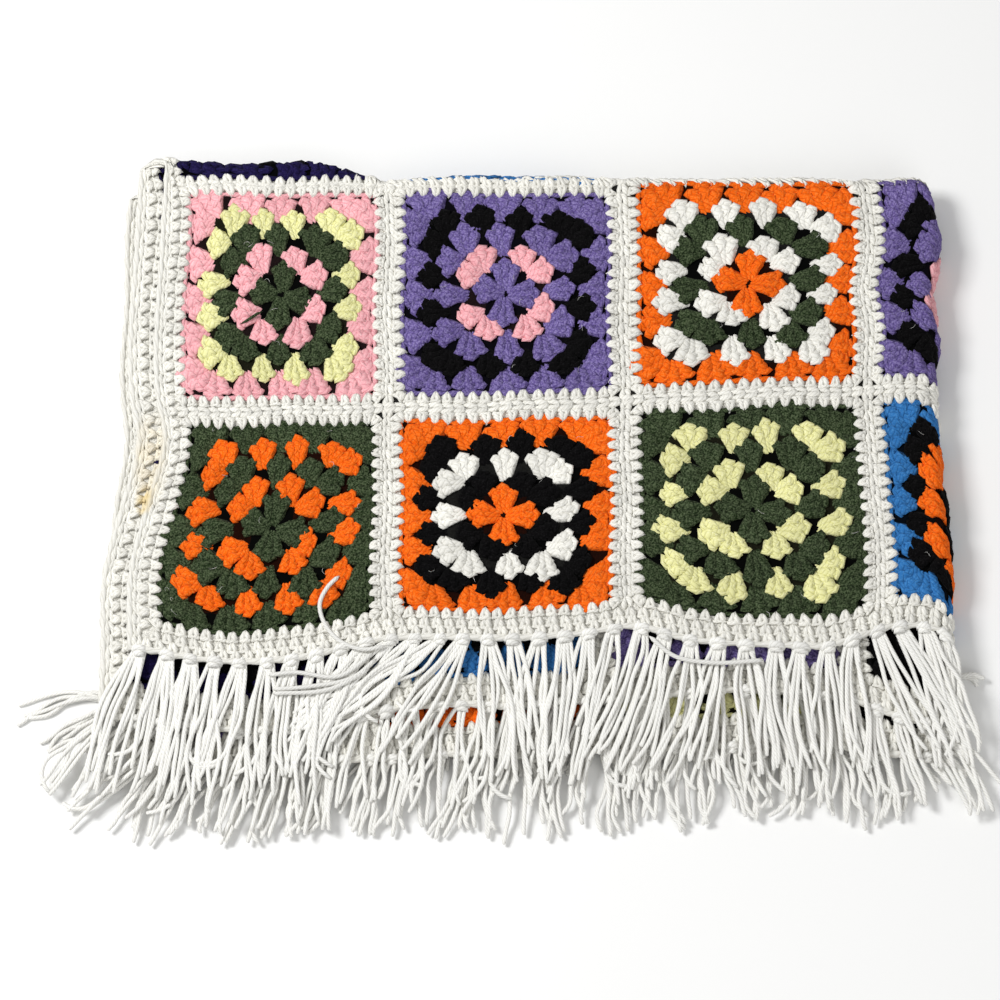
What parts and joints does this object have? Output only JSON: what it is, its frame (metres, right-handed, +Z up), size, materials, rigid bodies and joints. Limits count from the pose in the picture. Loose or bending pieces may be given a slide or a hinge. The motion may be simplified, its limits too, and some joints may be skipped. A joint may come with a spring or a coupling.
{
  "type": "granny square blanket",
  "caption": "Crocheted granny square blanket with tasselled fringe along its long edges, folded into a flat pile with the fringed edges staggered.",
  "frame": {"origin": "middle of the pile's footprint, fringe included, on the surface that it lies on", "axes": "+X along the fringed edges, towards the side fold; +Y from the fringed edges towards the top fold; +Z up through the four layers"},
  "size_m": [0.6192, 0.4642, 0.0279],
  "materials": {
    "crochet_yarn": "matt worsted acrylic, crocheted in multicoloured squares with cream-white seams and edges",
    "fringe_yarn": "matt plied yarn, cream white"
  },
  "bodies": {
    "root": {"crochet_cloth": "crochet_yarn", "near_fringe": "fringe_yarn", "far_fringe": "fringe_yarn"}
  },
  "joints": []
}
